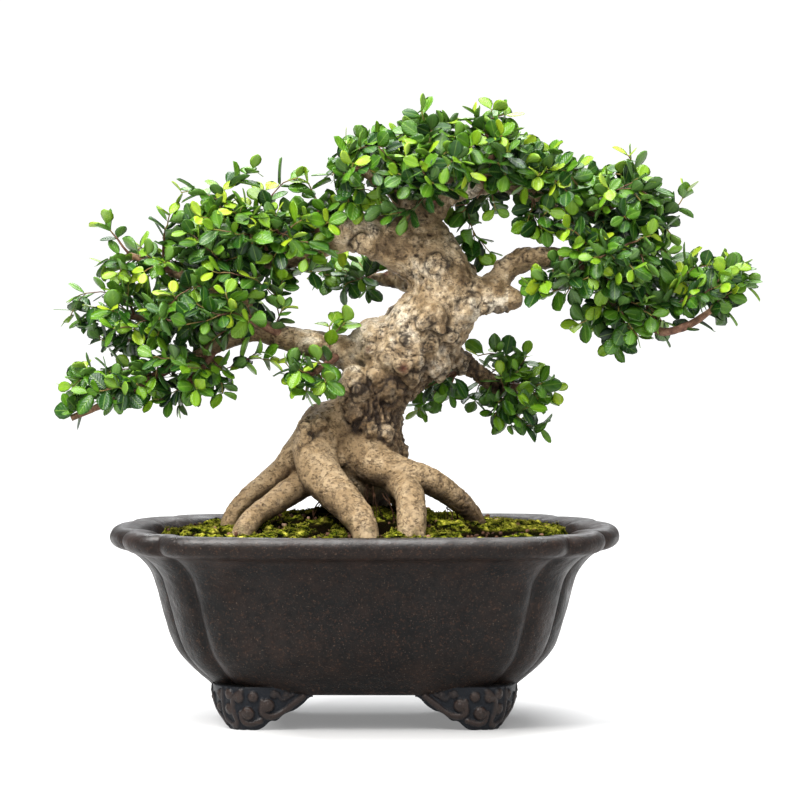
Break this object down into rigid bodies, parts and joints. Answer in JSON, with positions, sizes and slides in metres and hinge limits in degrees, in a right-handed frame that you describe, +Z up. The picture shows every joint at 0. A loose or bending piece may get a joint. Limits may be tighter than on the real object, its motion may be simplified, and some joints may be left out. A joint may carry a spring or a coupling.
{
  "type": "bonsai tree in a pot",
  "caption": "Premna bonsai with surface roots, a twisted trunk and leafy sprays, growing in a lobed oval clay pot on cloud feet.",
  "frame": {"origin": "on the surface that the pot's feet stand on, under the middle of the whole bonsai's box; the pot's own middle is 28.5 mm to -X of it", "axes": "+Z up, +X along the pot's length toward the side that the trunk leans to, -Y toward the bonsai's front"},
  "size_m": [0.4992, 0.274, 0.4394],
  "materials": {
    "clay": "unglazed dark brown clay, satin, with fine rusty specks",
    "bark": "pale tan bark, knobbly and pitted, with brown cracks",
    "leaf": "living leaves, glossy dark green, yellow green at the shoot tips",
    "soil": "damp grainy bonsai soil with small pebbles",
    "moss": "soft living moss in small clumps, yellow green",
    "screen": "black plastic mesh"
  },
  "bodies": {
    "root": {"pot": "clay", "drain_screen_left": "screen", "drain_screen_right": "screen", "trunk": "bark", "soil": "soil", "moss": "moss", "spray_left_low_tip": "leaf", "spray_left_low_mid": "leaf", "spray_left_low_out": "leaf", "spray_left_mid_front": "leaf", "spray_left_mid_back": "leaf", "spray_left_high_out": "leaf", "spray_left_high": "leaf", "spray_left_high_back": "leaf", "spray_left_inner": "leaf", "spray_shoulder_left": "leaf", "spray_crown_left": "leaf", "spray_crown_top": "leaf", "spray_crown_front": "leaf", "spray_crown_mid": "leaf", "spray_crown_back": "leaf", "spray_crown_right": "leaf", "spray_right_high": "leaf", "spray_right_mid": "leaf", "spray_right_back": "leaf", "spray_right_low": "leaf", "spray_right_tip": "leaf", "spray_low_right": "leaf", "spray_low_right_inner": "leaf", "spray_trunk_left": "leaf", "spray_behind": "leaf"}
  },
  "joints": []
}
